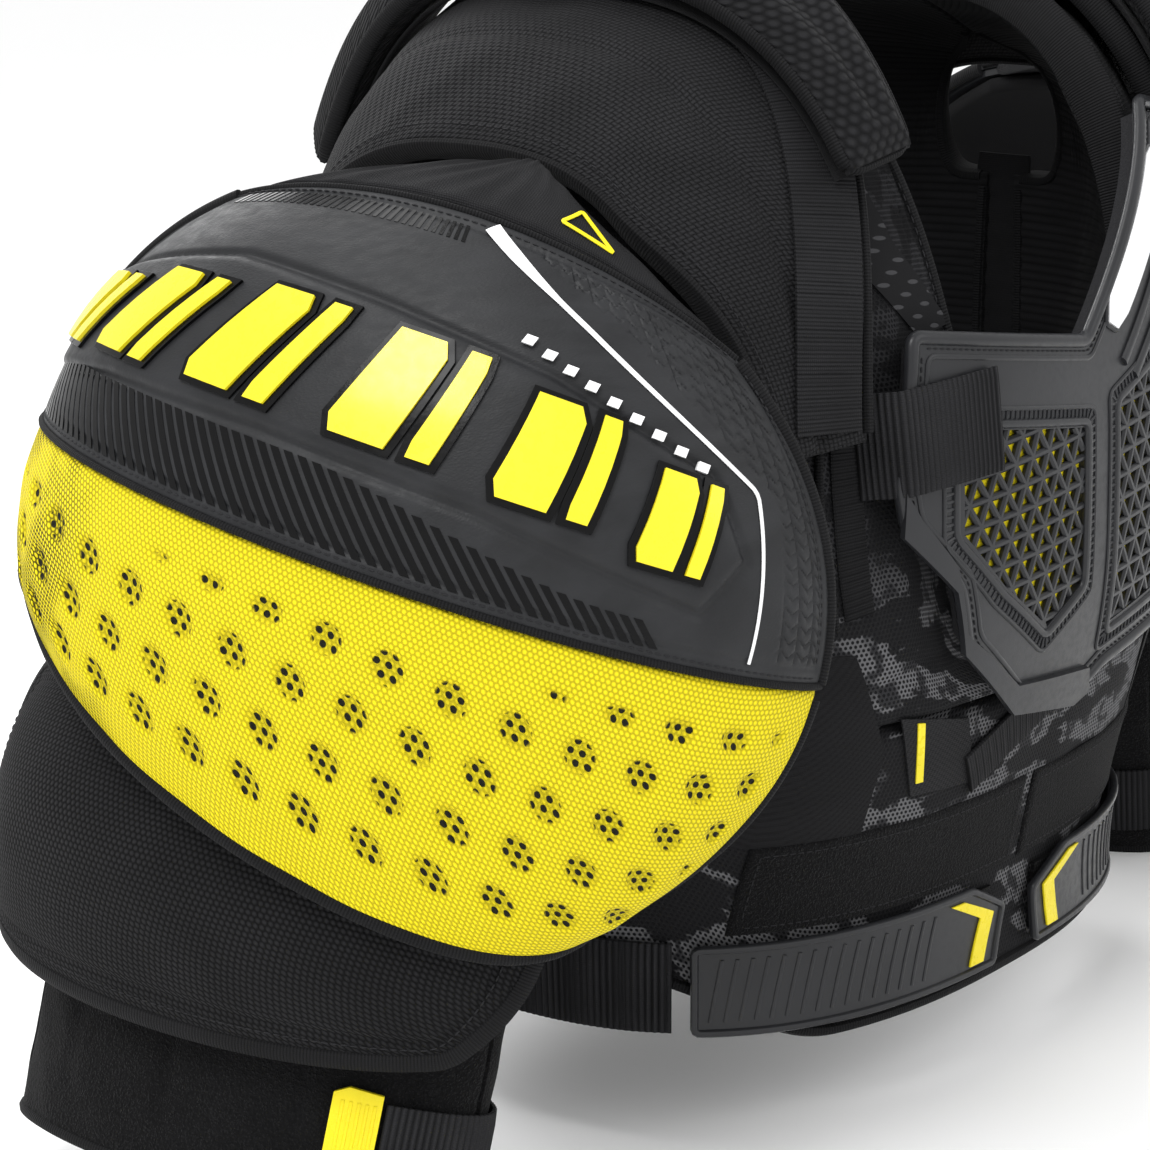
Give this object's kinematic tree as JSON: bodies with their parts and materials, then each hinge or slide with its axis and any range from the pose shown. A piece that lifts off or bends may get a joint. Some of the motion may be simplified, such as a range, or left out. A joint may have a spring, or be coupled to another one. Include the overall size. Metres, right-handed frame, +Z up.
{
  "type": "hockey shoulder pads",
  "caption": "Padded vest for ice hockey with a moulded sternum plate, domed shoulder caps, hanging bicep guards, collar flaps and side straps.",
  "frame": {"origin": "centre of the trunk opening, level with the lower rim of the vest", "axes": "+Z up, the wearer faces -Y, the wearer's right is -X"},
  "size_m": [0.6394, 0.2721, 0.4336],
  "materials": {
    "mesh_black": "printed knit mesh",
    "foam": "closed-cell foam",
    "jersey": "ribbed brushed jersey",
    "moulded_grey": "semi-gloss moulded",
    "label": "woven patch with a yellow bar",
    "webbing": "ribbed webbing",
    "elastic": "ribbed elastic",
    "lattice": "triangle lattice over yellow foam",
    "badge": "blank white badge",
    "loop": "brushed loop fleece",
    "ballistic": "coarse ballistic weave",
    "hook": "hook tape",
    "knit": "thick textured knit",
    "synthetic_leather": "matt synthetic leather with gloss print",
    "polyethylene": "natural sheet",
    "woven_fine": "fine weave",
    "mesh_yellow": "spacer mesh with punched dimples",
    "pull_tab": "soft pull tab"
  },
  "bodies": {
    "vest": {"belly_cover": "mesh_black", "belly_foam": "foam", "front_liner": "jersey", "back_cover": "mesh_black", "back_foam": "foam", "back_liner": "jersey", "spine_foam": "foam", "spine_plate": "moulded_grey", "label_patch": "label", "keeper_strap": "webbing", "sternum_elastic": "elastic", "chest_cover_right": "mesh_black", "chest_foam_right": "foam", "loop_landing_right": "loop", "side_strap_right": "elastic", "yoke_right": "ballistic", "yoke_webbing_right": "webbing", "chest_cover_left": "mesh_black", "chest_foam_left": "foam", "loop_landing_left": "loop", "side_strap_left": "elastic", "yoke_left": "ballistic", "yoke_webbing_left": "webbing"},
    "sternum": {"sternum_foam": "foam", "sternum_plate": "moulded_grey", "sternum_lattice": "lattice", "sternum_badge": "badge"},
    "side_tab_right": {"side_tab_right": "moulded_grey", "side_hook_right": "hook"},
    "collar_right": {"collar_liner_right": "jersey", "collar_pad_right": "knit"},
    "cap_right": {"cap_cover_right": "synthetic_leather", "cap_shell_right": "polyethylene", "cap_foam_right": "foam", "cap_crown_right": "woven_fine", "cap_mesh_right": "mesh_yellow"},
    "bicep_right": {"bicep_cover_right": "knit", "bicep_plate_right": "polyethylene", "bicep_foam_right": "foam", "bicep_wrap_right": "loop"},
    "bicep_strap_right": {"bicep_strap_right": "elastic", "bicep_tab_right": "pull_tab"},
    "side_tab_left": {"side_tab_left": "moulded_grey", "side_hook_left": "hook"},
    "collar_left": {"collar_liner_left": "jersey", "collar_pad_left": "knit"},
    "cap_left": {"cap_cover_left": "synthetic_leather", "cap_shell_left": "polyethylene", "cap_foam_left": "foam", "cap_crown_left": "woven_fine", "cap_mesh_left": "mesh_yellow"},
    "bicep_left": {"bicep_cover_left": "knit", "bicep_plate_left": "polyethylene", "bicep_foam_left": "foam", "bicep_wrap_left": "loop"},
    "bicep_strap_left": {"bicep_strap_left": "elastic", "bicep_tab_left": "pull_tab"}
  },
  "joints": [
    {"name": "sternum_fold", "type": "hinge", "parent": "vest", "child": "sternum", "pos_m": [0.13, -0.078, 0.18], "axis": [0, 0, 1], "range_deg": [0, 8], "stiffness_Nm_per_rad": 0.6, "deforming": ["sternum_elastic"]},
    {"name": "cap_lift_right", "type": "hinge", "parent": "vest", "child": "cap_right", "pos_m": [-0.184, 0, 0.3], "axis": [0, 1, 0], "range_deg": [0, 60]},
    {"name": "bicep_lift_right", "type": "hinge", "parent": "cap_right", "child": "bicep_right", "pos_m": [-0.268, 0.014, 0.124], "axis": [0, 1, 0], "range_deg": [0, 40], "deforming": ["cap_mesh_right"]},
    {"name": "bicep_strap_peel_right", "type": "hinge", "parent": "bicep_right", "child": "bicep_strap_right", "pos_m": [-0.2105, -0.0055, -0.0253], "axis": [0.2413, -0.0698, 0.9679], "range_deg": [0, 60]},
    {"name": "side_tab_peel_right", "type": "hinge", "parent": "vest", "child": "side_tab_right", "pos_m": [-0.1405, -0.0615, 0.009], "axis": [0, 0, -1], "range_deg": [0, 75]},
    {"name": "collar_lift_right", "type": "hinge", "parent": "vest", "child": "collar_right", "pos_m": [-0.09, 0, 0.362], "axis": [0, 1, 0], "range_deg": [0, 30]},
    {"name": "cap_lift_left", "type": "hinge", "parent": "vest", "child": "cap_left", "pos_m": [0.184, 0, 0.3], "axis": [0, -1, 0], "range_deg": [0, 60]},
    {"name": "bicep_lift_left", "type": "hinge", "parent": "cap_left", "child": "bicep_left", "pos_m": [0.268, 0.014, 0.124], "axis": [0, -1, 0], "range_deg": [0, 40], "deforming": ["cap_mesh_left"]},
    {"name": "bicep_strap_peel_left", "type": "hinge", "parent": "bicep_left", "child": "bicep_strap_left", "pos_m": [0.2105, -0.0055, -0.0253], "axis": [0.2413, 0.0698, -0.9679], "range_deg": [0, 60]},
    {"name": "side_tab_peel_left", "type": "hinge", "parent": "vest", "child": "side_tab_left", "pos_m": [0.1405, -0.0615, 0.009], "axis": [0, 0, 1], "range_deg": [0, 75]},
    {"name": "collar_lift_left", "type": "hinge", "parent": "vest", "child": "collar_left", "pos_m": [0.09, 0, 0.362], "axis": [0, -1, 0], "range_deg": [0, 30]}
  ]
}
